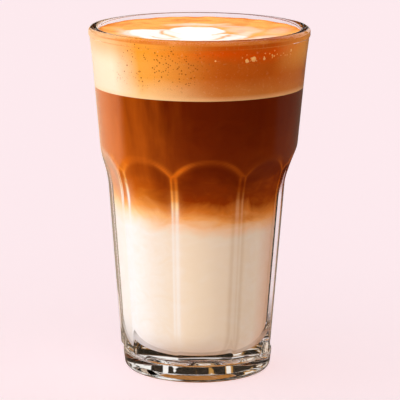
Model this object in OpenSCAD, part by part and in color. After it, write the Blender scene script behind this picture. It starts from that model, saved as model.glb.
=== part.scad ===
// Tall panelled glass filled with a layered latte: cream milk, dark coffee, crema foam.
// Millimetres, +Z up, origin at the centre of the base on the surface it stands on.

/* [Rim and band] */
// Height of the glass
glass_h = 134; // [120:1:160]
// Outside diameter of the rim
rim_d = 85; // [78:0.5:96]
// Height of the thickened bead at the rim
bead_h = 3; // [2:0.1:5]
// How far the bead stands out from the band
bead_proud = 0.35; // [0.1:0.05:0.8]
// Taper of the smooth band, measured from the vertical
band_taper = 5; // [3:0.1:7]
// Height from the rim down to where the band starts to flare
flare_drop = 12.5; // [8:0.5:20]
// How far the flare widens the band at the bead
flare_out = 0.3; // [0:0.05:0.8]
// Wall thickness of the band
band_wall = 3.1; // [2:0.1:4]

/* [Panels] */
// Number of flat panels
panels = 9; // [7:1:12]
// Turn of the first panel's centre from the front, towards the right
panel_turn = 5.9; // [0:0.1:40]
// Height of the tops of the arches
arch_z = 88; // [78:0.5:96]
// Height of the knee, where a panel's long flat starts to curve out to its arch
knee_z = 71; // [64:0.5:78]
// How far the ridges between the panels lie inside the band's own line at the height of the knee
knee_step = 1.5; // [0.8:0.1:2.5]
// Taper of the panelled body, measured from the vertical
body_taper = 4.5; // [3:0.1:6]
// Width of the rounded-off ridges at the height of the knee
ridge_land = 1.6; // [0.8:0.1:3]
// Wall thickness at the middle of a panel, at the knee
panel_wall = 6.3; // [3:0.1:9]

/* [Base] */
// Height of the round foot ring
foot_h = 7; // [5:0.5:10]
// How far the foot ring lies inside the ridges just above it
foot_step = 1; // [0.3:0.1:2]
// Taper of the foot ring, measured from the vertical
foot_taper = 7; // [3:0.5:12]
// Depth of the groove above the foot ring
groove = 0.35; // [0.2:0.05:0.8]
// Radius that rounds the heel
heel_round = 2.6; // [1.5:0.1:3.5]
// Width of the flat ring that touches the table
contact_w = 1.6; // [1:0.1:3]
// Height of the hollow under the base
dish_h = 1.2; // [0.5:0.1:3]
// Radius of the flat middle of the hollow
dish_r = 14; // [8:0.5:20]

/* [Inside] */
// Height of the inner floor above the table
floor_z = 9; // [6:0.5:16]
// Radius that rounds the inner floor into the wall
floor_round = 11; // [6:0.5:16]
// Taper of the cup below the knee, measured from the vertical
cup_taper = 3.8; // [2:0.1:7]
// Radius that rounds the bend of the cup at the knee
cup_bend = 60; // [20:5:100]

/* [Drink] */
// Gap from the foam's top up to the rim
head_room = 1.4; // [1:0.1:12]
// Thickness of the foam
foam_t = 21.6; // [10:0.5:40]
// Height of the middle of the blend between milk and coffee
milk_z = 67; // [40:1:90]

/* [Hidden] */

$fn = 96;
arc_steps = 6;
slack = 1;
ledge_rise = 0.3;
ridge_slope = 2;

rim_r = rim_d / 2;
half_panel = 180 / panels;

// Outside of the band
bead_z = glass_h - bead_h;
flare_z = glass_h - flare_drop;
band_top_r = rim_r - bead_proud;
flare_r = band_top_r - flare_out - (bead_z - flare_z) * tan(band_taper);
function band_r(z) = flare_r - (flare_z - z) * tan(band_taper);
knee_r = band_r(knee_z) - knee_step;

// Panels: distance of the flat from the axis, then the round scoop that starts at the knee
// along the flat and meets the band at the arch's top
flat_slope = tan(body_taper) * cos(half_panel);
function flat_d(z) = knee_r * cos(half_panel) - (knee_z - z) * flat_slope;
knee_point = [flat_d(knee_z), knee_z];
arch_point = [band_r(arch_z), arch_z];
flat_normal = unit([1, -flat_slope]);
arch_out = (arch_point - knee_point) * flat_normal;
scoop_r = pow(norm(arch_point - knee_point), 2) / 2 / arch_out;
scoop_centre = knee_point + scoop_r * flat_normal;
scoop_end_z = arch_z + 6;
function scoop_d(z) = scoop_centre.x - sqrt(pow(scoop_r, 2) - pow(z - scoop_centre.y, 2));
function panel_d(z) = z < knee_z ? flat_d(z) : scoop_d(z);

// Ridges: cut off round the axis a little inside the line where two panels would meet
ridge_share = 1 / cos(half_panel - ridge_land / 2 / knee_r * 180 / PI);

// Foot, and the slope on the lower end of each ridge above its groove
groove_z = foot_h + groove;
foot_r = knee_r - (knee_z - groove_z) * tan(body_taper) - foot_step;
foot_low_r = foot_r - foot_h * tan(foot_taper);
groove_r = foot_r - groove;
ledge_z = groove_z + ledge_rise;
contact_r = foot_low_r - heel_round - contact_w / 2;

// Inside of the cup
cup_knee_r = flat_d(knee_z) - panel_wall;
cup_floor_r = cup_knee_r - (knee_z - floor_z) * tan(cup_taper);
rim_in_r = band_top_r - flare_out - band_wall;

// Drink
foam_top = glass_h - head_room;
foam_z = foam_top - foam_t;

function unit(v) = v / norm(v);
function turned(v, a) = [v.x * cos(a) - v.y * sin(a), v.x * sin(a) + v.y * cos(a)];

// Points of the arc of radius r that rounds the corner p between its neighbours a and b
function corner(a, p, b, r) =
    let (
        u = unit(a - p),
        v = unit(b - p),
        half = acos(u * v) / 2,
        centre = p + unit(u + v) * r / sin(half),
        from = p + u * r / tan(half) - centre,
        side = cross(u, v) > 0 ? -1 : 1
    )
    [for (i = [0:arc_steps]) centre + turned(from, side * (180 - 2 * half) * i / arc_steps)];

function flat_point(c) = [c[0], c[1]];

// Outline through corners given as [radius from the axis, height, rounding]
function outline(c) =
    let (n = len(c))
    [for (i = [0:n - 1])
        each c[i][2] == 0
            ? [flat_point(c[i])]
            : corner(flat_point(c[(i + n - 1) % n]), flat_point(c[i]),
                     flat_point(c[(i + 1) % n]), c[i][2])];

// Outline of what lies outside the panels, or outside the ridges when widened by their share:
// straight from low_z to from_z, then points along the scoop
function outside(widen, low_z, from_z) = [
    [panel_d(low_z) * widen, low_z],
    for (i = [0:arc_steps])
        let (z = from_z + (scoop_end_z - from_z) * i / arc_steps)
        [panel_d(z) * widen, z],
    [2 * rim_r, scoop_end_z],
    [2 * rim_r, low_z]
];

// Half section of the solid glass before the ridges, the panels and the cup are cut
function body_section() = outline([
    [0, dish_h, 0],
    [dish_r, dish_h, 0],
    [contact_r - contact_w / 2, 0, 0],
    [foot_low_r, 0, heel_round],
    [foot_r, foot_h, 0.6],
    [groove_r, groove_z, 0],
    [groove_r + ridge_slope, groove_z + ridge_slope, 0],
    [band_r(knee_z), knee_z, 0],
    [flare_r, flare_z, 80],
    [band_top_r, bead_z - bead_proud, 0],
    [rim_r, bead_z, 0.5],
    [rim_r, glass_h, band_wall * 0.5],
    [0, glass_h, 0]
]);

// Half section of the inside, open past the rim
function cup_section() = outline([
    [0, floor_z, 0],
    [cup_floor_r, floor_z, floor_round],
    [cup_knee_r, knee_z, cup_bend],
    [rim_in_r, glass_h, 0],
    [rim_in_r, glass_h + slack, 0],
    [0, glass_h + slack, 0]
]);

// Rounding of the rim's inner edge: what lies between the cup and the arc
module rim_edge_cut() {
    r = band_wall * 0.45;
    rotate_extrude()
        difference() {
            translate([rim_in_r - slack, glass_h - r]) square([r + slack, r + slack]);
            translate([rim_in_r + r, glass_h - r]) circle(r);
        }
}

// What one panel takes off: all that lies outside its long flat and its scoop
module panel_cut() {
    rotate([90, 0, 90])
        linear_extrude(height = 2 * rim_r, center = true)
            polygon(outside(1, ledge_z, knee_z));
}

module glass() {
    color([0.82, 0.88, 0.87, 0.4])
        difference() {
            rotate_extrude()
                difference() {
                    polygon(body_section());
                    polygon(outside(ridge_share, foot_h, knee_z + slack));
                }
            for (i = [0:panels - 1])
                rotate(180 + panel_turn + i * 2 * half_panel) panel_cut();
            rotate_extrude() polygon(cup_section());
            rim_edge_cut();
        }
}

// Drink that fills the cup from one height to another
module layer(low, high) {
    rotate_extrude()
        intersection() {
            polygon(cup_section());
            translate([0, low]) square([rim_r, high - low]);
        }
}

module milk() {
    color([0.93, 0.88, 0.8]) layer(floor_z, milk_z);
}

module coffee() {
    color([0.3, 0.11, 0.03]) layer(milk_z, foam_z);
}

module foam() {
    color([0.8, 0.47, 0.2]) layer(foam_z, foam_top);
}

glass();
milk();
coffee();
foam();
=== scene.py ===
"""Layered latte in a tall panelled glass: the clear glass, the drink in it and the stage."""

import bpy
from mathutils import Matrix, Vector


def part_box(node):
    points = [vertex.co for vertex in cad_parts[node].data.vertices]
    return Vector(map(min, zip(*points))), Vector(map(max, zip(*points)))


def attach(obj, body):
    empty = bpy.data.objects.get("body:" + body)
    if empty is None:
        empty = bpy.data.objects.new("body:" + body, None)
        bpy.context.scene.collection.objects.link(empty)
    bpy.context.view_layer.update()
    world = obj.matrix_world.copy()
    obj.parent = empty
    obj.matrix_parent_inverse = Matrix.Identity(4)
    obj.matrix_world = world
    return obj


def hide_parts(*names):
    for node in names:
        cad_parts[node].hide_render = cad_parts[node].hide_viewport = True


bl_info = {
    "name": "Latte in a Panelled Glass",
    "version": (1, 0, 0),
    "blender": (4, 5, 0),
    "location": "3D View > Sidebar > Latte",
    "description": "Builds a panelled glass, its layered latte and a plain stage",
    "category": "Add Mesh",
}

import math
from functools import partialmethod

import bpy
import numpy as np

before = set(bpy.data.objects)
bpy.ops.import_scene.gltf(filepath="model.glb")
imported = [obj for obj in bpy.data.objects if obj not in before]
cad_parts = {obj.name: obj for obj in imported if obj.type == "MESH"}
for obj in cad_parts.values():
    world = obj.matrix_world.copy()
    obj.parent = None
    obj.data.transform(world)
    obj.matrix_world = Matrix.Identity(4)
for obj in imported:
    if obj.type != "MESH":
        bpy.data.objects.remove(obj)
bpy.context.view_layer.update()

MM = 0.001
GLASS_IOR = 1.5
DRINK_IOR = 1.34
FOAM_IOR = 1.36
FLOOR_REACH = 4.0

GLASS_LOW, GLASS_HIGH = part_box("glass")
MILK_LOW, MILK_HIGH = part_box("milk")
FOAM_LOW, FOAM_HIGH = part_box("foam")


# ---- sizes and colours

def length(name, description, millimetres):
    """A property that holds a length, given in millimetres and kept in metres."""
    return bpy.props.FloatProperty(
        name=name, description=description, default=millimetres * MM, min=0.0,
        unit="LENGTH", subtype="DISTANCE", precision=5)


def angle(name, description, degrees):
    """A property that holds an angle."""
    return bpy.props.FloatProperty(
        name=name, description=description, default=math.radians(degrees),
        unit="ROTATION", subtype="ANGLE")


def colour(name, description, default):
    """A property that holds a colour."""
    return bpy.props.FloatVectorProperty(
        name=name, description=description, default=default, size=3,
        min=0.0, max=1.0, subtype="COLOR")


def strength(name, description, default):
    """A property that holds the strength of a light."""
    return bpy.props.FloatProperty(name=name, description=description, default=default, min=0.0)


class GlassSizes(bpy.types.PropertyGroup):
    """Sizes of the glass."""

    rim_width: length("Rim width", "Outside diameter of the rim",
                      min(GLASS_HIGH.x - GLASS_LOW.x, GLASS_HIGH.y - GLASS_LOW.y) / MM)
    bead_height: length("Bead height", "Height of the bead at the rim", 3)
    bead_proud: length("Bead stand-out", "How far the bead stands out", 0.35)
    band_taper: angle("Band taper", "Taper of the smooth band", 5)
    flare_drop: length("Flare drop", "From the rim down to where the band flares", 12.5)
    flare_out: length("Flare", "How far the flare widens the band", 0.3)
    band_wall: length("Band wall", "Wall thickness of the band", 3.1)
    panels: bpy.props.IntProperty(name="Panels", description="Number of flat panels", default=9)
    panel_turn: angle("Panel turn", "Turn of the first panel from the front", 5.9)
    arch_height: length("Arch height", "Height of the tops of the arches", 88)
    knee_height: length("Knee height", "Where the flats start to curve out", 71)
    knee_step: length("Knee step", "From the band's line in to the ridges at the knee", 1.5)
    body_taper: angle("Body taper", "Taper of the panelled body", 4.5)
    ridge_round: length("Ridge rounding", "Radius that rounds ridges and arches", 2.4)
    panel_wall: length("Panel wall", "Wall at a panel's middle, at the knee", 6.3)
    foot_height: length("Foot height", "Height of the round foot ring", 7)
    cup_bend: length("Cup bend", "Radius of the cup's bend at the knee", 60)
    foot_step: length("Foot step", "From the ridges in to the foot ring", 1)
    foot_taper: angle("Foot taper", "Taper of the foot ring", 7)
    groove: length("Groove", "Depth of the groove above the foot ring", 0.35)
    heel_round: length("Heel rounding", "Radius that rounds the heel", 2.6)
    contact_width: length("Contact ring", "Width of the ring that touches the table", 1.6)
    dish_height: length("Hollow height", "Height of the hollow under the base", 1.2)
    dish_radius: length("Hollow middle", "Radius of the hollow's flat middle", 14)
    floor_round: length("Floor rounding", "Radius that rounds the inner floor", 11)
    cup_taper: angle("Cup taper", "Taper of the inside below the knee", 3.8)
    wave_height: length("Surface waves", "Depth of the waves that pressing leaves", 0.02)


# Colours of the drink: name, where it is found, colour on the shaded side, colour on the lit side. Both
# are painted: a shaded and a lit copy of each colour, mixed by side.
DRINK_COLOURS = (
    ("milk", "Warm cream milk", (0.86, 0.715, 0.535), (0.93, 0.93, 0.93)),
    ("veil", "Milk with a trace of coffee", (0.91, 0.55, 0.3), (0.95, 0.86, 0.7)),
    ("caramel", "Milk with a little coffee", (0.85, 0.35, 0.085), (1.0, 0.7, 0.36)),
    ("toffee", "Where milk and coffee are even", (0.62, 0.165, 0.017), (0.95, 0.42, 0.1)),
    ("amber", "Coffee with some milk in it", (0.26, 0.033, 0.001), (0.78, 0.23, 0.02)),
    ("brown", "Coffee with a little milk in it", (0.215, 0.028, 0.002), (0.66, 0.14, 0.006)),
    ("weak_coffee", "Coffee just above the clouds", (0.18, 0.023, 0.002), (0.62, 0.135, 0.009)),
    ("coffee", "Dark coffee", (0.116, 0.011, 0.0006), (0.56, 0.115, 0.006)),
    ("crema", "Side of the foam", (0.54, 0.108, 0.007), (0.92, 0.4, 0.06)),
    ("crema_dark", "Deep orange band under the foam's top", (0.7, 0.088, 0.001), (0.92, 0.36, 0.03)),
    ("crema_pale", "Foam above the coffee", (0.66, 0.23, 0.045), (0.96, 0.66, 0.32)),
)


class DrinkLook(bpy.types.PropertyGroup):
    """Colours and unevenness of the drink, with its painted light and shade, to which the table of
    colours is added.
    """

    wall_reach: length("Reach into the wall", "How far the drink reaches into the glass", 0.15)
    # Painted shade of the milk on the glass's floor.
    painted_shade_under_milk: colour("Under the milk", "Shaded milk on the glass's floor", (0.92, 0.48, 0.12))
    cloud_depth: length("Cloud depth", "How far the mixing clouds rise and sink", 6)
    # Painted light: half width of the bright line painted along each ridge.
    ridge_glow: length("Ridge glow", "Half width of the light a ridge gathers", 0.75)
    # Painted highlight on the foam's lit side.
    glare: colour("Glare", "Foam in the full light at the far side", (1.0, 0.82, 0.62))
    top_crema: colour("Top crema", "Crema on the foam's top", (0.93, 0.36, 0.06))
    top_crema_dark: colour("Dark top crema", "Richer drifts on the foam's top", (0.72, 0.2, 0.02))
    foam_white: colour("White foam", "Milk foam of the pattern on top", (0.94, 0.9, 0.87))
    speck: colour("Speck", "Tiny open bubbles", (0.24, 0.04, 0.002))
    bubble: colour("Bubble", "Larger bubbles", (0.9, 0.34, 0.05))
    bubble_pale: colour("Pale bubble", "Paler parts of the larger bubbles", (0.95, 0.52, 0.16))
    bubble_count: bpy.props.IntProperty(
        name="Bubbles", description="Larger bubbles against the wall", default=34, min=0)


# Each colour gets a shaded copy and a lit copy, both painted light and shade.
for tint, found, shaded, lit in DRINK_COLOURS:
    label = tint.replace("_", " ")
    DrinkLook.__annotations__[tint] = colour(label.capitalize(), found, shaded)
    DrinkLook.__annotations__["lit_" + tint] = colour("Lit " + label, found + ", on the lit side", lit)


class StageSetting(bpy.types.PropertyGroup):
    """Camera, lights and floor."""

    distance: length("Camera distance", "From the glass's axis, along the floor", 900)
    camera_height: length("Camera height", "Above the floor", 257.3)
    pitch: angle("Camera pitch", "How far the camera looks down", 12)
    roll: angle("Camera roll", "Turn about its own line of sight", 0.36)
    aside: length("Camera aside", "How far right of the axis it looks", 0.63)
    lens: bpy.props.FloatProperty(
        name="Lens", description="Focal length in millimetres", default=213.2, unit="CAMERA")
    floor: colour("Floor", "Pale pink floor", (0.967, 0.83, 0.876))
    floor_glow: strength("Floor glow", "Light of the floor's own, which shadows do not dim", 0.44)
    dark: colour("Dark studio", "What mirrors show away from the lamps", (0.02, 0.015, 0.01))
    # Painted shadow colour for the floor seen through the base.
    under: colour("Under the glass", "Shaded floor seen through the base", (0.42, 0.19, 0.04))
    key: strength("Key light", "Large soft light on the left", 8.6)
    fill: strength("Fill light", "Softer light on the right", 4.2)
    top: strength("Top light", "Soft light over the glass", 2.2)
    sky: strength("Room light", "Light from all round", 0.58)


# ---- outlines

def rounded_corner(before, corner, after, radius, steps):
    """Points of the arc that rounds one corner of an outline."""
    u = (before - corner) / np.linalg.norm(before - corner)
    v = (after - corner) / np.linalg.norm(after - corner)
    half = math.acos(np.clip(u @ v, -1, 1)) / 2
    middle = (u + v) / np.linalg.norm(u + v)
    centre = corner + middle * radius / math.sin(half)
    start = corner + u * radius / math.tan(half) - centre
    side = -1 if u[0] * v[1] - u[1] * v[0] > 0 else 1
    turns = side * (math.pi - 2 * half) * np.linspace(0, 1, steps + 1)
    return np.stack([
        centre[0] + start[0] * np.cos(turns) - start[1] * np.sin(turns),
        centre[1] + start[0] * np.sin(turns) + start[1] * np.cos(turns)], axis=1)


def outline(corners, steps=12):
    """An open line through corners given as (radius, height, rounding)."""
    points = [np.array(c[:2], float) for c in corners]
    line = [points[0][None]]
    for i in range(1, len(corners) - 1):
        if corners[i][2] > 0:
            line.append(rounded_corner(points[i - 1], points[i], points[i + 1], corners[i][2], steps))
        else:
            line.append(points[i][None])
    line.append(points[-1][None])
    return np.concatenate(line)


def refined(line, longest):
    """The same line with its long stretches cut into steps no longer than that."""
    parts = []
    for a, b in zip(line[:-1], line[1:]):
        cuts = max(1, math.ceil(np.linalg.norm(b - a) / longest))
        parts.append(a + (b - a) * np.linspace(0, 1, cuts, endpoint=False)[:, None])
    parts.append(line[-1:])
    return np.concatenate(parts)


def smooth_step(x, low, high):
    """0 below low, 1 above high, smooth between."""
    t = np.clip((x - low) / (high - low), 0, 1)
    return t * t * (3 - 2 * t)


class GlassForm:
    """The glass's outside and inside, worked out from its sizes."""

    def __init__(self, sizes):
        self.sizes = sizes
        self.top = GLASS_HIGH.z
        self.rim = sizes.rim_width / 2
        self.half_panel = math.pi / sizes.panels
        self.bead_low = self.top - sizes.bead_height
        self.flare_low = self.top - sizes.flare_drop
        self.band_end = self.bead_low - sizes.bead_proud
        self.band_top = self.rim - sizes.bead_proud
        self.band_slope = math.tan(sizes.band_taper)
        self.flare_radius = (self.band_top - sizes.flare_out
                             - (self.bead_low - self.flare_low) * self.band_slope)
        self.flare_slope = sizes.flare_out / (self.bead_low - self.flare_low)
        self.flat_slope = math.tan(sizes.body_taper) * math.cos(self.half_panel)
        self.knee_radius = self.band_line(sizes.knee_height) - sizes.knee_step
        self.groove_height = sizes.foot_height + sizes.groove
        self.foot_radius = (self.knee_radius - sizes.foot_step
                            - (sizes.knee_height - self.groove_height) * math.tan(sizes.body_taper))
        self.groove_radius = self.foot_radius - sizes.groove
        knee = np.array([self.flat_distance(sizes.knee_height), sizes.knee_height])
        arch = np.array([self.band_radius(sizes.arch_height), sizes.arch_height])
        normal = np.array([1, -self.flat_slope]) / math.hypot(1, self.flat_slope)
        self.scoop_radius = (arch - knee) @ (arch - knee) / 2 / ((arch - knee) @ normal)
        self.scoop_centre = knee + self.scoop_radius * normal

    def band_line(self, z):
        """Radius of the band's straight taper."""
        return self.flare_radius - (self.flare_low - z) * self.band_slope

    def band_radius(self, z):
        """Radius of the smooth band, with its flare towards the rim."""
        rise = z - self.flare_low
        soft = 2 * MM
        flared = (rise + np.sqrt(rise * rise + soft * soft)) / 2
        return self.band_line(z) + flared * self.flare_slope

    def flat_distance(self, z):
        """How far a panel's long flat lies from the axis."""
        return (self.knee_radius * math.cos(self.half_panel)
                - (self.sizes.knee_height - z) * self.flat_slope)

    def panel_distance(self, z):
        """How far a panel lies from the axis, with the scoop that ends it at the arch."""
        up = np.minimum(z - self.scoop_centre[1], self.scoop_radius)
        scoop = self.scoop_centre[0] - np.sqrt(self.scoop_radius ** 2 - up ** 2)
        return np.where(z < self.sizes.knee_height, self.flat_distance(z), scoop)

    def outside_radius(self, turn, z):
        """Radius of the outside between the groove and the bead, ridges and arches rounded."""
        offset = self.panel_offset(turn)
        distance = self.panel_distance(z)
        near = distance / np.cos(offset)
        beside = distance / np.cos(2 * self.half_panel - offset)
        band = self.band_radius(z)
        cut = self.sizes.ridge_round * (1 / math.cos(self.half_panel) - 1)
        sharpness = math.log(2) * self.knee_radius / cut
        total = sum((r / self.knee_radius) ** -sharpness for r in (near, beside, band))
        radius = self.knee_radius * total ** (-1 / sharpness)
        grown = smooth_step(z, self.groove_height, self.groove_height + 1.1 * MM)
        return self.groove_radius + (radius - self.groove_radius) * grown

    def panel_offset(self, turn):
        """How far a turn is from the nearest panel's middle."""
        offset = (turn - self.sizes.panel_turn + self.half_panel) % (2 * self.half_panel)
        return np.abs(offset - self.half_panel)

    def from_middle(self, turn):
        """The same as seen through the glass from the front, up to 1 at a ridge."""
        return self.panel_offset(turn - 0.2 * np.sin(turn)) / self.half_panel

    def edge_distance(self, turn, z):
        """Rough distances to the nearest ridge or arch, seen from the front, and down from the arch."""
        offset = self.from_middle(turn) * self.half_panel
        ridge = (self.half_panel - offset) * self.flat_distance(z)
        inside = self.band_radius(z) - self.panel_distance(z) / np.cos(offset)
        steep = np.clip((z - self.sizes.knee_height) / self.scoop_radius, 0, 1)
        arch = inside / (np.hypot(steep, np.sin(offset)) + 0.03)
        under_arch = self.panel_distance(z) / math.cos(self.half_panel) < self.band_radius(z)
        return np.where(under_arch, ridge, np.abs(arch)), np.where(under_arch, np.minimum(
            arch, ridge + 3 * MM), arch)

    def base_line(self):
        """Half section from the middle of the underside to the groove."""
        sizes = self.sizes
        foot_low = self.foot_radius - sizes.foot_height * math.tan(sizes.foot_taper)
        ring = foot_low - sizes.heel_round
        return refined(outline([
            (0, sizes.dish_height, 0),
            (sizes.dish_radius, sizes.dish_height, 12 * MM),
            (ring - sizes.contact_width, 0, 1.2 * MM),
            (foot_low, 0, sizes.heel_round),
            (self.foot_radius, sizes.foot_height, 0.6 * MM),
            (self.groove_radius, self.groove_height, 0)]), 1.0 * MM)

    def rim_line(self):
        """Half section from the foot of the bead, over the rim and down to the foam."""
        sizes = self.sizes
        line = outline([
            (self.band_radius(self.band_end), self.band_end, 0),
            (self.rim, self.bead_low, 0.5 * MM),
            (self.rim, self.top, sizes.band_wall * 0.5),
            (self.cup_rim_radius(), self.top, sizes.band_wall * 0.45),
            (self.cup_radius(FOAM_HIGH.z), FOAM_HIGH.z, 0)], 10)
        return refined(line[1:], 0.5 * MM)

    def cup_rim_radius(self):
        """Radius of the inside at the rim."""
        return self.band_top - self.sizes.flare_out - self.sizes.band_wall

    def cup_line(self):
        """Half section of the inside, from the middle of its floor up to the rim."""
        sizes = self.sizes
        knee = self.flat_distance(sizes.knee_height) - sizes.panel_wall
        floor = MILK_LOW.z
        floor_radius = knee - (sizes.knee_height - floor) * math.tan(sizes.cup_taper)
        return outline([
            (0, floor, 0),
            (floor_radius, floor, sizes.floor_round),
            (knee, sizes.knee_height, sizes.cup_bend),
            (self.cup_rim_radius(), self.top, 0)], 16)

    def cup_radius(self, z):
        """Radius of the inside at one height."""
        line = self.cup_line()[1:]
        return np.interp(z, line[:, 1], line[:, 0])


# ---- meshes

def even_turns(count):
    """Even steps round the axis."""
    return np.arange(count) * 2 * math.pi / count


def panel_turns(sizes, per_panel):
    """Steps round the axis that crowd towards the ridges between panels."""
    u = np.arange(per_panel) / per_panel * 2 - 1
    offset = (0.4 * u + 0.6 * np.sin(u * math.pi / 2)) * math.pi / sizes.panels
    centres = sizes.panel_turn + np.arange(sizes.panels) * 2 * math.pi / sizes.panels
    return (centres[:, None] + offset[None]).ravel()


def ring(radius, z, turns):
    """Points of one ring about the axis. The front is at -Y, and turns run towards +X."""
    radius = np.broadcast_to(radius, turns.shape)
    z = np.broadcast_to(z, turns.shape)
    return np.stack([radius * np.sin(turns), -radius * np.cos(turns), z], axis=1)


def rings_along(line, turns):
    """A ring at each radius and height of a line."""
    return [ring(radius, z, turns) for radius, z in line]


def closed_shell(rings, start, end):
    """Points and faces of a closed shell through rings, from its start point to its end point."""
    count = len(rings[0])
    points = np.concatenate([[start], *rings, [end]])
    first = 1 + np.arange(len(rings))[:, None] * count + np.arange(count)[None]
    beside = np.roll(first, -1, axis=1)
    last = len(points) - 1
    quads = np.stack([first[:-1], beside[:-1], beside[1:], first[1:]], axis=2).reshape(-1, 4)
    faces = quads.tolist()
    faces += [(0, b, a) for a, b in zip(first[0].tolist(), beside[0].tolist())]
    faces += [(a, b, last) for a, b in zip(first[-1].tolist(), beside[-1].tolist())]
    return points, faces


def smooth_object(name, points, faces):
    """An object with a smooth-shaded mesh, linked to the scene."""
    mesh = bpy.data.meshes.new(name)
    mesh.from_pydata(points.tolist(), [], faces)
    mesh.polygons.foreach_set("use_smooth", np.ones(len(mesh.polygons), bool))
    mesh.validate()
    mesh.set_sharp_from_angle(angle=math.radians(40))
    mesh.update()
    made = bpy.data.objects.new(name, mesh)
    bpy.context.scene.collection.objects.link(made)
    return made


def place_piece(piece, node, material):
    """Gives a piece its material, from its name, shader and settings, and ties it to the frame."""
    piece.data.materials.append(new_material(*material))
    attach(piece, "root")
    if node:
        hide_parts(node)


def glass_object(form):
    """The whole glass as one closed mesh."""
    sizes = form.sizes
    turns = panel_turns(sizes, 40)
    base = form.base_line()
    cup = refined(form.cup_line()[::-1], 3 * MM)
    cup = cup[cup[:, 1] < FOAM_HIGH.z - 0.1 * MM]
    stops = (
        (form.groove_height, 1), (form.groove_height + 1.4 * MM, 7),
        (sizes.knee_height - 4 * MM, 30), (sizes.arch_height - 9 * MM, 16),
        (sizes.arch_height + 3 * MM, 38), (form.band_end, 24))
    heights = np.concatenate([
        np.linspace(low, high, count)[1:] for (low, _), (high, count) in zip(stops, stops[1:])])
    outside = [(form.outside_radius(turns, z), z) for z in heights]
    rings = rings_along([*base[1:], *outside, *form.rim_line(), *cup[:-1]], turns)
    return smooth_object("glass_body", *closed_shell(rings, (0, 0, base[0, 1]), (0, 0, cup[-1, 1])))


def layer_rings(form, low, high, reach, turns, step):
    """Rings up the side of a drink layer that reaches just into the wall."""
    line = refined(form.cup_line(), step)
    inside = line[(line[:, 1] > low + 0.05 * MM) & (line[:, 1] < high - 0.05 * MM)]
    ends = [(float(form.cup_radius(z)), z) for z in (low, high)]
    side = np.concatenate([[ends[0]], inside, [ends[1]]])
    return rings_along(side + (reach, 0), turns)


def add_values(made, name, values):
    """Stores one value for each point of a mesh."""
    attribute = made.data.attributes.new(name, "FLOAT", "POINT")
    attribute.data.foreach_set("value", np.asarray(values, np.float32))


def mesh_points(made):
    """The points of a mesh as rows of x, y, z."""
    points = np.empty(len(made.data.vertices) * 3)
    made.data.vertices.foreach_get("co", points)
    return points.reshape(-1, 3)


def add_panel_light(made, form, half_width):
    """Painted light where ridges and arches would gather it on the drink, and painted shade below the
    arches and beside the ridges, kept as values in the mesh.
    """
    x, y, z = mesh_points(made).T
    sizes = form.sizes
    turn = np.arctan2(x, -y)
    across = x / np.maximum(np.hypot(x, y), 1e-6)
    away, below = form.edge_distance(turn, z)
    half_width = half_width * (1 + 0.9 * smooth_step(-across, 0.55, 0.9))
    half_width = half_width * (1 - 0.4 * smooth_step(below, 14 * MM, 4 * MM))
    line = np.exp(-(away / half_width) ** 2) + 0.12 * np.exp(-(away / half_width / 4) ** 2)
    line *= smooth_step(z, MILK_LOW.z + 4 * MM, MILK_LOW.z + 14 * MM)
    below_arches = 1 - smooth_step(z, sizes.arch_height, sizes.arch_height + 1 * MM)
    line *= below_arches
    # Painted light is strongest on the lit side and at the far right edge.
    power = np.clip(0.75 - 0.9 * across, 0.12, 1) + 0.5 * smooth_step(across, 0.82, 0.97)
    power *= 0.45 + 0.55 * smooth_step(z, MILK_HIGH.z - 5 * MM, MILK_HIGH.z + 5 * MM)
    power *= 0.3 + 0.7 * smooth_step(form.from_middle(turn), 0.25, 0.85)
    add_values(made, "ridge_light", np.clip(line * power, 0, 1))
    # Painted shade under the arches.
    shade = 0.29 * smooth_step(below, 0.6 * MM, 2.4 * MM) * (1 - smooth_step(below, 5 * MM, 13 * MM))
    shade *= smooth_step(z, sizes.knee_height + 1 * MM, sizes.knee_height + 9 * MM)
    # Painted dark line beside the ridges on the shaded side.
    painted_ridge_shade = np.exp(-((away - 1 * MM) / (1.1 * MM)) ** 2) * smooth_step(across, 0.2, 0.5)
    add_values(made, "panel_shade", np.clip(shade + 0.15 * painted_ridge_shade * below_arches, 0, 1))


def drink_object(name, form, low, high, look):
    """A layer of the drink with flat ends."""
    reach = look.wall_reach
    turns = even_turns(600)
    side = layer_rings(form, low, high, reach, turns, 0.55 * MM)
    if low <= MILK_LOW.z + 0.1 * MM:
        line = refined(form.cup_line(), 1 * MM)
        floor = line[(line[:, 1] < low + 0.06 * MM) & (line[:, 0] > 0.1 * MM)]
        side = rings_along(floor - (0, reach), turns) + side[1:]
        low = low - reach
    lid = [ring(share_out * np.linalg.norm(side[-1][0, :2]), high, turns) for share_out in (0.6, 0.2)]
    made = smooth_object(name, *closed_shell(side + lid, (0, 0, low), (0, 0, high)))
    add_panel_light(made, form, look.ridge_glow)
    return made


# ---- node helpers

def add_node(tree, kind, inputs=None, **settings):
    """A shader node with its settings, and with each input set or linked."""
    made = tree.nodes.new(kind)
    for name, value in settings.items():
        setattr(made, name, value)
    for name, value in (inputs or {}).items():
        if isinstance(value, Wire):
            tree.links.new(value.socket, made.inputs[name])
        else:
            made.inputs[name].default_value = value
    return made


def outputs_of(node):
    """The outputs of a node by name."""
    return {socket.name: Wire(socket) for socket in node.outputs}


def give(result, node, name):
    """Links a result to an input of a node."""
    result.tree.links.new(result.socket, node.inputs[name])


def solid(paint):
    """A colour as a socket takes it, or a wire as it is."""
    return paint if isinstance(paint, Wire) else (*paint, 1)


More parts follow.
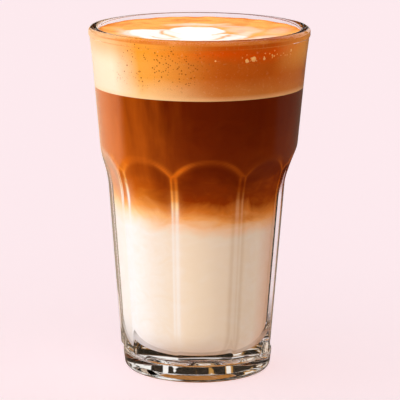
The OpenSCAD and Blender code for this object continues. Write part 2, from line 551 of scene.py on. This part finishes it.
class Wire:
    """A number, place, colour or shader that runs between nodes. Numbers add and multiply as usual."""

    def __init__(self, socket):
        self.socket = socket
        self.tree = socket.id_data

    def node(self, kind, inputs, **settings):
        """The first output of a new node."""
        return Wire(add_node(self.tree, kind, inputs, **settings).outputs[0])

    def compute(self, operation, other):
        """The result of one sum."""
        return self.node("ShaderNodeMath", {0: self, 1: other}, operation=operation)

    __add__ = partialmethod(compute, "ADD")
    __sub__ = partialmethod(compute, "SUBTRACT")
    __mul__ = partialmethod(compute, "MULTIPLY")
    __truediv__ = partialmethod(compute, "DIVIDE")
    __pow__ = partialmethod(compute, "POWER")

    def __rsub__(self, other):
        return self.node("ShaderNodeMath", {0: other, 1: self}, operation="SUBTRACT")

    def larger(self, other):
        """The larger of two numbers."""
        return self.compute("MAXIMUM", other)

    def span(self, low, high, to_low=0.0, to_high=1.0, smooth=True):
        """The number mapped from one range to another, and kept inside it."""
        return self.node("ShaderNodeMapRange", {
            "Value": self, "From Min": low, "From Max": high, "To Min": to_low, "To Max": to_high,
        }, interpolation_type="SMOOTHSTEP" if smooth else "LINEAR")

    def mix(self, first, second):
        """Two colours mixed, the number being the second one's share."""
        made = add_node(self.tree, "ShaderNodeMix", {0: self, 6: solid(first), 7: solid(second)},
                        data_type="RGBA")
        return Wire(made.outputs[2])

    def shader(self, kind, paint, **values):
        """A shader with its colour and its other values."""
        return self.node("ShaderNode" + kind, {"Color": solid(paint)} | values)

    def skin(self, paint, roughness, ior, specular, **values):
        """A surface without metal, which mirrors only as far as its specular share."""
        return self.node("ShaderNodeBsdfPrincipled", {
            "Base Color": solid(paint), "Roughness": roughness, "IOR": ior,
            "Specular IOR Level": specular} | values)

    def path(self):
        """What kind of ray asks, by name."""
        return outputs_of(add_node(self.tree, "ShaderNodeLightPath"))

    def mix_shaders(self, first, second):
        """Two shaders mixed, the number being the second one's share."""
        return self.node("ShaderNodeMixShader", {0: self, 1: first, 2: second})

    def ramp(self, stops):
        """Colours by the number, from stops given as (number from 0 to 1, colour)."""
        made = add_node(self.tree, "ShaderNodeValToRGB", {0: self})
        elements = made.color_ramp.elements
        elements.remove(elements[1])
        elements[0].position = stops[0][0]
        elements[0].color = solid(stops[0][1])
        for place, paint in stops[1:]:
            elements.new(place).color = solid(paint)
        return Wire(made.outputs[0])

    def part(self, axis):
        """The X, Y or Z of a place."""
        return Wire(add_node(self.tree, "ShaderNodeSeparateXYZ", {0: self}).outputs[axis])

    def far(self):
        """How far a place lies from the origin."""
        made = add_node(self.tree, "ShaderNodeVectorMath", {0: self}, operation="LENGTH")
        return Wire(made.outputs["Value"])

    def stretched(self, x, y, z):
        """A place scaled by its own amount along each axis."""
        return self.node("ShaderNodeVectorMath", {0: self, 1: (x, y, z)}, operation="MULTIPLY")

    def noise(self, scale, detail, roughness=0.5, distortion=0.0):
        """A noise number from 0 to 1 at a place."""
        return self.node("ShaderNodeTexNoise", {
            "Vector": self, "Scale": scale, "Detail": detail, "Roughness": roughness,
            "Distortion": distortion})

    def mesh_value(self, name):
        """A number stored in the mesh."""
        made = add_node(self.tree, "ShaderNodeAttribute", attribute_name=name)
        return Wire(made.outputs["Fac"])


def new_group(name, inputs, outputs):
    """A shader node group with sockets given as name and kind, its inputs and its output node."""
    tree = bpy.data.node_groups.new(name, "ShaderNodeTree")
    for way, sockets in (("INPUT", inputs), ("OUTPUT", outputs)):
        for label, kind in sockets.items():
            tree.interface.new_socket(label, in_out=way, socket_type="NodeSocket" + kind)
    given = outputs_of(tree.nodes.new("NodeGroupInput"))
    return given, tree.nodes.new("NodeGroupOutput")


def use_group(name, inputs):
    """The outputs of a group placed in a material, with its inputs set or linked."""
    return outputs_of(add_node(inputs["Where"].tree, "ShaderNodeGroup", inputs,
                               node_tree=bpy.data.node_groups[name]))


def build_side_group():
    """How far a place lies towards the lit side, about the axis: the mask that places painted light and
    shade.
    """
    given, out = new_group("Lit Side", {"Where": "Vector", "Low": "Float", "High": "Float"},
                           {"Lit": "Float"})
    flat = given["Where"].stretched(1, 1, 0)
    aim = flat.node("ShaderNodeVectorMath", {0: flat}, operation="NORMALIZE")
    lit = (aim.part("X") * -1.0).span(given["Low"], given["High"], smooth=False)
    give(lit, out, "Lit")


def lit_side(where, low, high):
    """A number from 0 to 1 between two places across, the lit side being 1 and the far side -1; it
    places painted light and shade.
    """
    if "Lit Side" not in bpy.data.node_groups:
        build_side_group()
    return use_group("Lit Side", {"Where": where, "Low": low, "High": high})["Lit"]


def colour_stops(look, prefix, stops):
    """Stops of a ramp, from colours of the drink whose names start with a prefix."""
    return [(place, getattr(look, prefix + name)) for name, place in stops]


def new_material(name, build, settings):
    """A material whose shader is built from its object coordinates and settings."""
    material = bpy.data.materials.new(name)
    material.use_nodes = True
    tree = material.node_tree
    tree.nodes.clear()
    where = Wire(tree.nodes.new("ShaderNodeTexCoord").outputs["Object"])
    give(build(where, settings), tree.nodes.new("ShaderNodeOutputMaterial"), "Surface")
    return material


# ---- glass

def glass_surface(where, sizes):
    """Clear pressed glass with soft waves, which lets lamps through to the drink."""
    waves = where.stretched(1, 1, 0.35).noise(60, 2, 0.4)
    bump = waves.node("ShaderNodeBump", {"Height": waves, "Distance": sizes.wave_height})
    surface = where.node("ShaderNodeBsdfPrincipled", {
        "Base Color": (0.985, 0.992, 0.988, 1), "IOR": GLASS_IOR, "Transmission Weight": 1.0,
        "Roughness": where.noise(35, 3).span(0.4, 0.75, 0.0, 0.03), "Normal": bump})
    clear = where.shader("BsdfTransparent", (0.97, 0.97, 0.965))
    return where.path()["Is Shadow Ray"].mix_shaders(surface, clear)


class LATTE_OT_glass(bpy.types.Operator):
    """Build the panelled glass"""

    bl_idname = "latte.glass"
    bl_label = "Glass"

    def execute(self, context):
        sizes = context.scene.latte_glass
        piece = glass_object(GlassForm(sizes))
        place_piece(piece, "glass", ("clear_glass", glass_surface, sizes))
        return {"FINISHED"}


# ---- milk and coffee

# Colours up the blend, from 10 mm below its middle to 40 mm above
BLEND = [(name, (height + 10) / 50) for name, height in (
    ("milk", -9.7), ("veil", -5.4), ("caramel", -2.4), ("toffee", 0.5),
    ("amber", 4.3), ("brown", 9), ("weak_coffee", 16), ("coffee", 36))]


def build_blend_group(look):
    """The colours from milk to coffee, by height, with clouds where the two mix, and painted light and
    shade: lit copies towards the lit side, painted glare, painted light along the ridges, a painted
    shaded edge and painted shade under the arches.
    """
    given, out = new_group("Latte Blend", {
        "Where": "Vector", "Ridge Light": "Float", "Panel Shade": "Float",
        "Blend Height": "Float", "Cloud Depth": "Float"}, {"Colour": "Color"})
    where = given["Where"]
    billow = where.stretched(0.8, 0.8, 1.2).noise(70, 4, 0.55, 0.9)
    curl = where.stretched(0.7, 0.7, 1.1).noise(190, 3, 0.5, 1.5)
    lift = (billow * 1.6 + curl * 0.4 - 1.0) * given["Cloud Depth"]
    over = where.part("Z") - given["Blend Height"] + where.part("X") * 0.05
    above = over + lift * over.span(0, 13 * MM, 1.0, 3.2)
    shade = above.span(-10 * MM, 40 * MM, smooth=False)
    # Painted light: lit colours are mixed in towards the lit side.
    side = lit_side(where, 0.0, 1.0)
    lit_stops = colour_stops(look, "lit_", BLEND)
    # Painted light along ridges and arches: the lit colours of a little lower down.
    painted_caustics = (shade - 0.075 - side ** 2.0 * 0.2).ramp(lit_stops)
    # Painted light streaks up the lit side.
    streak = where.stretched(1, 1, 0.03).noise(150, 3, 0.6) - 0.5
    streak = streak * 0.9 * side.span(0.0, 0.5, 0.12, 1.0) * shade.span(0.3, 0.5)
    glow = side ** 1.75 * 1.06 + streak + (curl - 0.5) * 0.5 * shade.span(0.6, 0.35)
    # More painted light on the far side, lower down.
    glow = glow + lit_side(where, -0.4, -0.9) * shade.span(0.5, 0.35, 0.03, 0.14)
    glow = glow.larger(0.0).compute("MINIMUM", 1.0)
    colour = glow.mix(shade.ramp(colour_stops(look, "", BLEND)), shade.ramp(lit_stops))
    # Painted glare on the lit side.
    glare = lit_side(where, 0.78, 0.97) * shade.span(0.2, 0.4, 0.0, 0.12)
    colour = glare.mix(colour, look.lit_toffee)
    colour = given["Ridge Light"].mix(colour, painted_caustics)
    # Painted shade: a darker toffee along the far, shaded edge.
    edge = lit_side(where, -0.8, -0.98) * shade.span(0.35, 0.15, 0.0, 0.4)
    colour = edge.mix(colour, look.toffee)
    # Painted shade under the arches and beside the ridges, warmer than grey.
    painted_shade_factor = where.node("ShaderNodeVectorMath", {
        0: given["Panel Shade"], 1: (-0.7, -1.0, -1.4), 2: (1, 1, 1)}, operation="MULTIPLY_ADD")
    shaded = where.node("ShaderNodeVectorMath", {0: colour, 1: painted_shade_factor}, operation="MULTIPLY")
    give(shaded, out, "Colour")


def wet_against_glass(where, surface):
    """Adds the mirror that a drink makes inside the glass where it is seen at a flat angle."""
    facing = outputs_of(add_node(where.tree, "ShaderNodeLayerWeight", {"Blend": 0.5}))["Facing"]
    height = where.part("Z")
    above_floor = height.span(MILK_LOW.z + 4 * MM, MILK_LOW.z + 10 * MM, 0.25, 1.0)
    in_coffee = height.span(MILK_HIGH.z + 2 * MM, MILK_HIGH.z + 9 * MM, 1.0, 0.4)
    mirror = where.shader("BsdfGlossy", (0.96, 0.95, 0.94), Roughness=0.0)
    return (facing.span(0.53, 0.57) * above_floor * in_coffee).mix_shaders(surface, mirror)


def liquid_surface(where, look):
    """An opaque layer of the drink, wet against the glass."""
    blend = use_group("Latte Blend", {
        "Where": where, "Ridge Light": where.mesh_value("ridge_light"),
        "Panel Shade": where.mesh_value("panel_shade"), "Blend Height": MILK_HIGH.z,
        "Cloud Depth": look.cloud_depth})
    # Painted shade: the milk on the glass's floor takes a darker caramel colour.
    side = where.part("Z").span(MILK_LOW.z, MILK_LOW.z + 0.6 * MM)
    paint = side.mix(look.painted_shade_under_milk, blend["Colour"])
    return wet_against_glass(where, where.skin(paint, 0.6, DRINK_IOR, 0.0))


class LATTE_OT_drink(bpy.types.Operator):
    """Pour the milk and the coffee"""

    bl_idname = "latte.drink"
    bl_label = "Milk and coffee"

    def execute(self, context):
        look = context.scene.latte_drink
        form = GlassForm(context.scene.latte_glass)
        build_blend_group(look)
        layers = (("milk", MILK_LOW.z, MILK_HIGH.z), ("coffee", MILK_HIGH.z, FOAM_LOW.z))
        for name, low, high in layers:
            piece = drink_object(name + "_layer", form, low, high, look)
            place_piece(piece, name, (name, liquid_surface, look))
        return {"FINISHED"}


# ---- foam

def wobble(x, y, size, seed):
    """Smooth waves between about -1 and 1 that never repeat evenly."""
    draw = np.random.default_rng(seed)
    total = np.zeros_like(x)
    for _ in range(7):
        heading = draw.uniform(0, 2 * math.pi)
        phase = draw.uniform(0, 2 * math.pi)
        pitch = 2 * math.pi / size * draw.uniform(0.6, 1.7)
        total += np.sin((x * math.cos(heading) + y * math.sin(heading)) * pitch + phase)
    return total / 3


# Leaves of the poured pattern: middle across, back, half width, half length, degrees, whiteness
LEAVES = (
    (-1, -1, 10.5, 11.5, 0, 1.0),
    (-2, -16, 7, 13, 0, 1.0),
    (-17, -11, 9, 14, 30, 0.9),
    (-24, -9, 5, 10, 22, 0.6),
    (-15, -3, 6, 6, 0, 0.7),
    (-11, -19, 9, 9, 30, 0.85),
    (9, -18, 7.5, 9, -35, 0.85),
    (1, -26, 8, 7, 0, 0.9),
)
# Paler wisps round the pattern, in the same form
WISPS = (
    (-1, 17, 10, 3.5, 5, 0.5),
    (17, -9, 3, 12, -25, 0.5),
    (22, -20, 2.5, 9, -40, 0.5),
    (30, 0, 4, 9, -15, 0.22),
    (-29, -6, 2.5, 9, 15, 0.35),
    (12, 12, 9, 2.5, -30, 0.35),
    (17, 2, 7, 8, 0, 0.3),
)
# Thin crema lines in the pattern: from x, y to x, y, bend, half width, strength
VEINS = (
    (-14, 0, -5, -24, 3.0, 0.8, 0.85),
    (-19, -14, -8, -23, 2.0, 0.7, 0.7),
    (12, -10, 1, -27, -3.0, 0.8, 0.85),
    (-24, -18, -8, -31, 2.0, 0.6, 0.5),
    (15, -20, 4, -31, -2.0, 0.6, 0.5),
)


def leaf_mask(x, y, leaf, soft):
    """1 inside an ellipse, falling off softly at its edge."""
    across, back, half_width, half_length, turn, white = leaf
    turn = math.radians(turn)
    x, y = x - across, y - back
    u = x * math.cos(turn) + y * math.sin(turn)
    v = y * math.cos(turn) - x * math.sin(turn)
    reach = np.sqrt((u / half_width) ** 2 + (v / half_length) ** 2)
    edge = soft / min(half_width, half_length)
    return white * (1 - smooth_step(reach, 1 - edge, 1 + edge))


def vein_mask(x, y, vein):
    """1 along a bent line, falling off to its sides."""
    x0, y0, x1, y1, bend, half_width, deep = vein
    across, back = x1 - x0, y1 - y0
    run = math.hypot(across, back)
    x, y = x - x0, y - y0
    along = (x * across + y * back) / run ** 2
    aside = (x * back - y * across) / run
    aside = aside - bend * 4 * along * (1 - along)
    ends = smooth_step(along, -0.05, 0.12) * (1 - smooth_step(along, 0.85, 1.05))
    return deep * np.exp(-(aside / half_width) ** 2) * ends


def poured_pattern(x, y):
    """How white the foam's top is at each place, from 0 for crema to 1 for milk foam."""
    x, y = x / MM, y / MM
    x = x + 0.9 * wobble(x, y, 17, 3) + 0.25 * wobble(x, y, 4, 5)
    y = y + 0.9 * wobble(x, y, 19, 4) + 0.25 * wobble(x, y, 4, 6)
    white = np.zeros_like(x)
    for leaf in LEAVES:
        white = np.maximum(white, leaf_mask(x, y, leaf, 1.2))
    for wisp in WISPS:
        white = np.maximum(white, leaf_mask(x, y, wisp, 2.4))
    for vein in VEINS:
        white = white * (1 - vein_mask(x, y, vein))
    return white


def foam_object(form, look):
    """The foam, with a fine top that carries the poured pattern."""
    turns = even_turns(384)
    low, high = FOAM_LOW.z, FOAM_HIGH.z
    side = layer_rings(form, low, high - 0.4 * MM, look.wall_reach, turns, 1.2 * MM)
    edge = float(form.cup_radius(high)) + look.wall_reach
    rings = side[:]
    whites = [np.zeros(len(turns))] * len(side)
    for share_out in np.linspace(1, 0.012, 96):
        radius = edge * share_out
        x, y = radius * np.sin(turns), -radius * np.cos(turns)
        white = poured_pattern(x, y)
        sag = 0.35 * MM * math.exp(-(edge - radius) / (1.6 * MM))
        relief = (0.16 * white + 0.1 * wobble(x / MM, y / MM, 9, 8) - 0.42) * MM
        rings.append(ring(radius, high + np.minimum(relief + sag, 0), turns))
        whites.append(white)
    top = poured_pattern(np.zeros(1), np.zeros(1))[0]
    shell = closed_shell(rings, (0, 0, low), (0, 0, float(rings[-1][0, 2])))
    made = smooth_object("foam_layer", *shell)
    add_values(made, "white_foam", np.concatenate([[0.0], *whites, [top]]))
    x, y, z = mesh_points(made).T
    turn = np.degrees(np.arctan2(x, -y))
    here = smooth_step(turn, -62, -42) * (1 - smooth_step(turn, -8, 16))
    here *= smooth_step(z, low + 1 * MM, low + 9 * MM)
    add_values(made, "specks", np.maximum(here, 0.06))
    return made


def build_bubble_group():
    """Fine foam: cells of tiny bubbles, a few open ones, and the relief they give."""
    given, out = new_group("Foam Bubbles", {
        "Where": "Vector", "Cell Scale": "Float", "Openness": "Float"}, {
        "Open": "Float", "Cells": "Float", "Height": "Float"})
    where = given["Where"]
    cells = outputs_of(add_node(where.tree, "ShaderNodeTexVoronoi", {
        "Vector": where, "Scale": given["Cell Scale"]}, feature="F1"))
    froth = where.node("ShaderNodeTexVoronoi", {
        "Vector": where, "Scale": given["Cell Scale"] * 2.7}, feature="F1")
    picks = outputs_of(add_node(where.tree, "ShaderNodeSeparateColor", {0: cells["Color"]}))
    chosen = picks["Red"].compute("LESS_THAN", given["Openness"])
    width = picks["Green"] * 0.9 + 0.45
    opened = (cells["Distance"] / width).span(0.16, 0.36, 1.0, 0.0) * chosen
    give(opened, out, "Open")
    give(froth.span(0.0, 0.8), out, "Cells")
    give(froth.span(0.0, 0.7, 0.4, 0.0) - opened, out, "Height")


# Colours down the side of the foam, from its top at 0 to the coffee at 1
CREMA = (("crema", 0.0), ("crema_dark", 0.16), ("crema", 0.36), ("crema", 0.6), ("crema_pale", 1.0))


def foam_side_colour(where, look):
    """Side of the foam: deep orange under its top, pale above the coffee, with painted light: lit
    colours towards the lit side, a painted glare and a painted rim light on the far side.
    """
    height = where.part("Z")
    drift = where.stretched(1, 1, 1.7).noise(55, 4, 0.6, 0.6)
    down = (height + (drift - 0.5) * (7 * MM)).span(FOAM_HIGH.z, FOAM_LOW.z, smooth=False)
    dim = down.ramp(colour_stops(look, "", CREMA))
    lit = down.ramp(colour_stops(look, "lit_", CREMA))
    # Painted light: lit colours towards the lit side.
    side = lit_side(where, -0.28, 0.62).span(0, 1).mix(dim, lit)
    # Painted rim light on the far side.
    painted_rim_light = lit_side(where, -0.7, -0.98) * height.span(
        FOAM_LOW.z + 4 * MM, FOAM_HIGH.z - 5 * MM, 0.0, 0.8)
    side = painted_rim_light.mix(side, look.lit_crema)
    # Painted glare on the lit side, highest up.
    glare = lit_side(where, 0.58, 0.84) * height.span(
        FOAM_HIGH.z - 1 * MM, FOAM_HIGH.z - 11 * MM, 0.35, 1.0)
    side = glare.mix(side, look.glare)
    side = height.span(FOAM_LOW.z, FOAM_LOW.z + 2.2 * MM, 0.45, 0.0).mix(side, look.lit_crema_pale)
    grain = where.noise(900, 3, 0.65)
    return grain.span(0.55, 0.8, 0.0, 0.16).mix(side, look.lit_crema_pale)


def foam_surface(where, look):
    """Crema foam: its side with specks, and the white pattern on its top."""
    bubbles = use_group("Foam Bubbles", {"Where": where, "Cell Scale": 1250.0, "Openness": 0.55})
    specks = bubbles["Open"] * where.mesh_value("specks") * where.noise(150, 2).span(0.36, 0.55)
    side = specks.mix(foam_side_colour(where, look), look.speck)
    drift = where.noise(90, 4, 0.6, 0.8)
    rich = drift.span(0.4, 0.7).mix(look.top_crema, look.top_crema_dark)
    rich = (bubbles["Cells"] * 0.25).mix(rich, look.lit_crema_pale)
    rim = where.stretched(1, 1, 0).far() + (drift - 0.5) * (5 * MM)
    rich = rim.span(36 * MM, 39 * MM, 0.0, 0.85).mix(rich, look.top_crema_dark)
    top = where.mesh_value("white_foam").mix(rich, look.foam_white)
    is_top = (FOAM_HIGH.z - where.part("Z")).span(0.5 * MM, 1.0 * MM, 1.0, 0.0)
    bump = where.node("ShaderNodeBump", {
        "Height": bubbles["Height"], "Distance": 0.1 * MM, "Strength": 0.5})
    return where.skin(is_top.mix(side, top), 0.6, FOAM_IOR, 0.0, Normal=bump)


def bubble_places(count):
    """Turn from the front in degrees, depth below the foam's top and radius of each bubble."""
    draw = np.random.default_rng(11)
    places = [(31, 5.8, 1.3), (27, 6.5, 0.9), (38, 6.1, 0.7), (45, 5.5, 0.5), (59, 4.3, 0.7)]
    for i in range(count - len(places)):
        turn = draw.choice((25, 30, 36, 44, 58)) + draw.normal(0, 3)
        drop = draw.normal(5.6, 0.8)
        if i % 4 == 3:
            turn = draw.uniform(-55, 62)
            drop = draw.uniform(2.2, 8)
        places.append((turn, drop, draw.uniform(0.25, 0.5)))
    return places


def bubbles_object(form, look):
    """Larger bubbles of the foam, pressed flat against the glass, as one mesh."""
    steps = even_turns(20)
    lifts = np.linspace(math.pi, 0, 11)[1:-1]
    up = np.array([0, 0, 1])
    points, faces = [], []
    start = 0
    for turn, drop, size in bubble_places(look.bubble_count):
        turn = math.radians(turn)
        z = FOAM_HIGH.z - drop * MM
        size = size * MM
        radius = float(form.cup_radius(z)) + look.wall_reach - 0.45 * size
        out = np.array([math.sin(turn), -math.cos(turn), 0])
        middle = out * radius + up * z
        flat = np.outer(np.cos(steps), np.cross(up, out)) + np.outer(np.sin(steps), up)
        deep = out * size * 0.75
        rings = [middle + deep * math.cos(lift) + size * math.sin(lift) * flat for lift in lifts]
        skin, skin_faces = closed_shell(rings, middle - deep, middle + deep)
        points.append(skin)
        faces += [[start + i for i in face] for face in skin_faces]
        start += len(skin)
    return smooth_object("foam_bubbles", np.concatenate(points), faces)


def bubble_surface(where, look):
    """Glossy skin of a bubble."""
    paint = where.noise(500, 2).span(0.3, 0.7).mix(look.bubble, look.bubble_pale)
    return where.skin(paint, 0.35, DRINK_IOR, 0.3)


class LATTE_OT_foam(bpy.types.Operator):
    """Lay the crema foam with its poured pattern on the coffee"""

    bl_idname = "latte.foam"
    bl_label = "Foam"

    def execute(self, context):
        look = context.scene.latte_drink
        build_bubble_group()
        piece = foam_object(GlassForm(context.scene.latte_glass), look)
        place_piece(piece, "foam", ("crema_foam", foam_surface, look))
        return {"FINISHED"}


class LATTE_OT_bubbles(bpy.types.Operator):
    """Press the larger bubbles against the glass"""

    bl_idname = "latte.bubbles"
    bl_label = "Bubbles"

    def execute(self, context):
        look = context.scene.latte_drink
        piece = bubbles_object(GlassForm(context.scene.latte_glass), look)
        place_piece(piece, None, ("foam_bubble", bubble_surface, look))
        return {"FINISHED"}


# ---- stage

def floor_surface(where, setting):
    """Matt pale floor, evenly bright to the camera save for its soft shadow, and darker in mirrors.
    Seen straight through the glass close to its base, it glows as a painted shadow with painted caustic
    spots.
    """
    paint = where.noise(3, 2).span(0.3, 0.7, 0.0, 0.02).mix(setting.floor, (0.95, 0.82, 0.85))
    glow = where.shader("Emission", setting.floor, Strength=setting.floor_glow)
    even = where.node("ShaderNodeAddShader", {0: where.shader("BsdfDiffuse", paint), 1: glow})
    pale = where.part("Y").span(-0.02, 0.07) * where.part("X").span(0.06, -0.08, 0.14, 1.0)
    mirror = where.shader("Emission", pale.mix(setting.dark, (1.0, 0.8, 0.6)), Strength=0.95)
    # Painted caustic spots and painted shadow, seen through the base.
    painted_caustics = where.noise(75, 2, 0.5, 2.0)
    tone = painted_caustics.span(0.5, 0.58).mix(setting.dark, setting.under)
    under = where.shader("Emission", painted_caustics.span(0.6, 0.66).mix(tone, (1.0, 0.96, 0.9)))
    path = where.path()
    straight = path["Is Transmission Ray"] * path["Diffuse Depth"].compute("LESS_THAN", 0.5)
    near = (straight * where.far().span(0.06, 0.16, 1.0, 0.0)).mix_shaders(even, under)
    mirrored = path["Is Glossy Ray"].compute("GREATER_THAN", path["Is Transmission Ray"])
    return mirrored.mix_shaders(near, mirror)


def room_world(setting):
    """Pale backdrop, even light from all round, and the darker studio that glass mirrors and bends."""
    world = bpy.data.worlds.new("room")
    bpy.context.scene.world = world
    world.use_nodes = True
    tree = world.node_tree
    tree.nodes.clear()
    heading = Wire(tree.nodes.new("ShaderNodeTexCoord").outputs["Generated"])
    across, back, up = (heading.part(axis) for axis in "XYZ")
    lamp = up.span(0.7, 0.85)
    right = across.span(0.12, 0.2) * back.span(0.3, 0.5)
    behind = back.span(0.25, 0.75) * up.span(0.12, 0.03) * across.span(0.15, -0.2, 0.4, 1.0)
    shapes = heading.stretched(-1, 1, 1).noise(6.3, 1.0, 0.4, 0.6)
    high = up.span(0.15, 0.3)
    bright = lamp.larger(right).larger(behind).larger(shapes.span(0.56, 0.59) * high * 0.9)
    bright = bright * (1.0 - shapes.span(0.43, 0.4))
    golden = shapes.span(0.5, 0.54) * high
    studio = golden.mix(setting.dark, (0.55, 0.27, 0.06))
    studio = bright.mix(studio, (1.0, 0.96, 0.92))
    backdrop = heading.shader("Background", setting.floor)
    room = heading.shader("Background", (1.0, 0.95, 0.93), Strength=setting.sky)
    path = heading.path()
    seen = path["Is Glossy Ray"].larger(path["Is Transmission Ray"])
    inner = seen.mix_shaders(room, heading.shader("Background", studio))
    output = tree.nodes.new("ShaderNodeOutputWorld")
    give(path["Is Camera Ray"].mix_shaders(inner, backdrop), output, "Surface")


def soft_light(name, place, width, height, power, paint, floor):
    """A rectangular soft light that points at the glass's middle and leaves the floor out."""
    lamp = bpy.data.lights.new(name, "AREA")
    lamp.shape = "RECTANGLE"
    lamp.size = width
    lamp.size_y = height
    lamp.energy = power
    lamp.color = paint
    made = bpy.data.objects.new(name, lamp)
    made.location = place
    direction = (GLASS_LOW + GLASS_HIGH) / 2 - made.location
    made.rotation_euler = direction.to_track_quat("-Z", "Y").to_euler()
    bpy.context.scene.collection.objects.link(made)
    lit = bpy.data.collections.new("lit by " + name)
    lit.objects.link(floor)
    lit.collection_objects[0].light_linking.link_state = "EXCLUDE"
    made.light_linking.receiver_collection = lit
    made.visible_glossy = False
    made.visible_transmission = False


def place_camera(setting):
    """The camera, in front of the glass and looking down on it."""
    camera = bpy.data.cameras.new("camera")
    camera.lens = setting.lens
    camera.sensor_width = 36
    camera.clip_end = 20
    made = bpy.data.objects.new("camera", camera)
    made.location = (0, -setting.distance, setting.camera_height)
    aim = math.atan(setting.aside / setting.distance)
    turn = Matrix.Rotation(-aim, 4, "Z") @ Matrix.Rotation(math.pi / 2 - setting.pitch, 4, "X")
    turn = turn @ Matrix.Rotation(setting.roll, 4, "Z")
    made.rotation_euler = turn.to_euler()
    bpy.context.scene.collection.objects.link(made)
    bpy.context.scene.camera = made


class LATTE_OT_stage(bpy.types.Operator):
    """Set the floor, the lights and the camera"""

    bl_idname = "latte.stage"
    bl_label = "Stage"

    def execute(self, context):
        setting = context.scene.latte_stage
        corners = FLOOR_REACH * np.array([(-1, -1, 0), (1, -1, 0), (1, 1, 0), (-1, 1, 0)])
        floor = smooth_object("floor", corners, [(0, 1, 2, 3)])
        floor.data.materials.append(new_material("floor", floor_surface, setting))
        room_world(setting)
        soft_light("key", (-0.7, -0.45, 0.35), 0.5, 0.8, setting.key, (1.0, 0.98, 0.96), floor)
        soft_light("fill", (0.75, -0.42, 0.14), 0.6, 0.5, setting.fill, (1.0, 0.97, 0.95), floor)
        soft_light("top", (-0.1, 0.15, 0.8), 0.5, 0.5, setting.top, (1.0, 0.98, 0.96), floor)
        place_camera(setting)
        context.scene.view_settings.view_transform = "Standard"
        return {"FINISHED"}


# ---- panel and registration

class LATTE_PT_maker(bpy.types.Panel):
    """Buttons that build the latte piece by piece"""

    bl_label = "Latte"
    bl_idname = "LATTE_PT_maker"
    bl_space_type = "VIEW_3D"
    bl_region_type = "UI"
    bl_category = "Latte"

    def draw(self, context):
        for group, operators in PANEL_ROWS:
            box = self.layout.box()
            for operator in operators:
                box.operator(operator)
            settings = getattr(context.scene, group)
            for name in settings.__annotations__:
                box.prop(settings, name)


PANEL_ROWS = (
    ("latte_glass", ("latte.glass",)),
    ("latte_drink", ("latte.drink", "latte.foam", "latte.bubbles")),
    ("latte_stage", ("latte.stage",)),
)
SETTINGS = (
    ("latte_glass", GlassSizes), ("latte_drink", DrinkLook), ("latte_stage", StageSetting))
CLASSES = (
    GlassSizes, DrinkLook, StageSetting, LATTE_OT_glass, LATTE_OT_drink, LATTE_OT_foam,
    LATTE_OT_bubbles, LATTE_OT_stage, LATTE_PT_maker)


def register():
    for made in CLASSES:
        bpy.utils.register_class(made)
    for name, group in SETTINGS:
        setattr(bpy.types.Scene, name, bpy.props.PointerProperty(type=group))


def unregister():
    for name, _ in SETTINGS:
        delattr(bpy.types.Scene, name)
    for made in reversed(CLASSES):
        bpy.utils.unregister_class(made)


def main():
    """Builds everything in order."""
    register()
    bpy.ops.latte.glass()
    bpy.ops.latte.drink()
    bpy.ops.latte.foam()
    bpy.ops.latte.bubbles()
    bpy.ops.latte.stage()


if __name__ == "__main__":
    main()
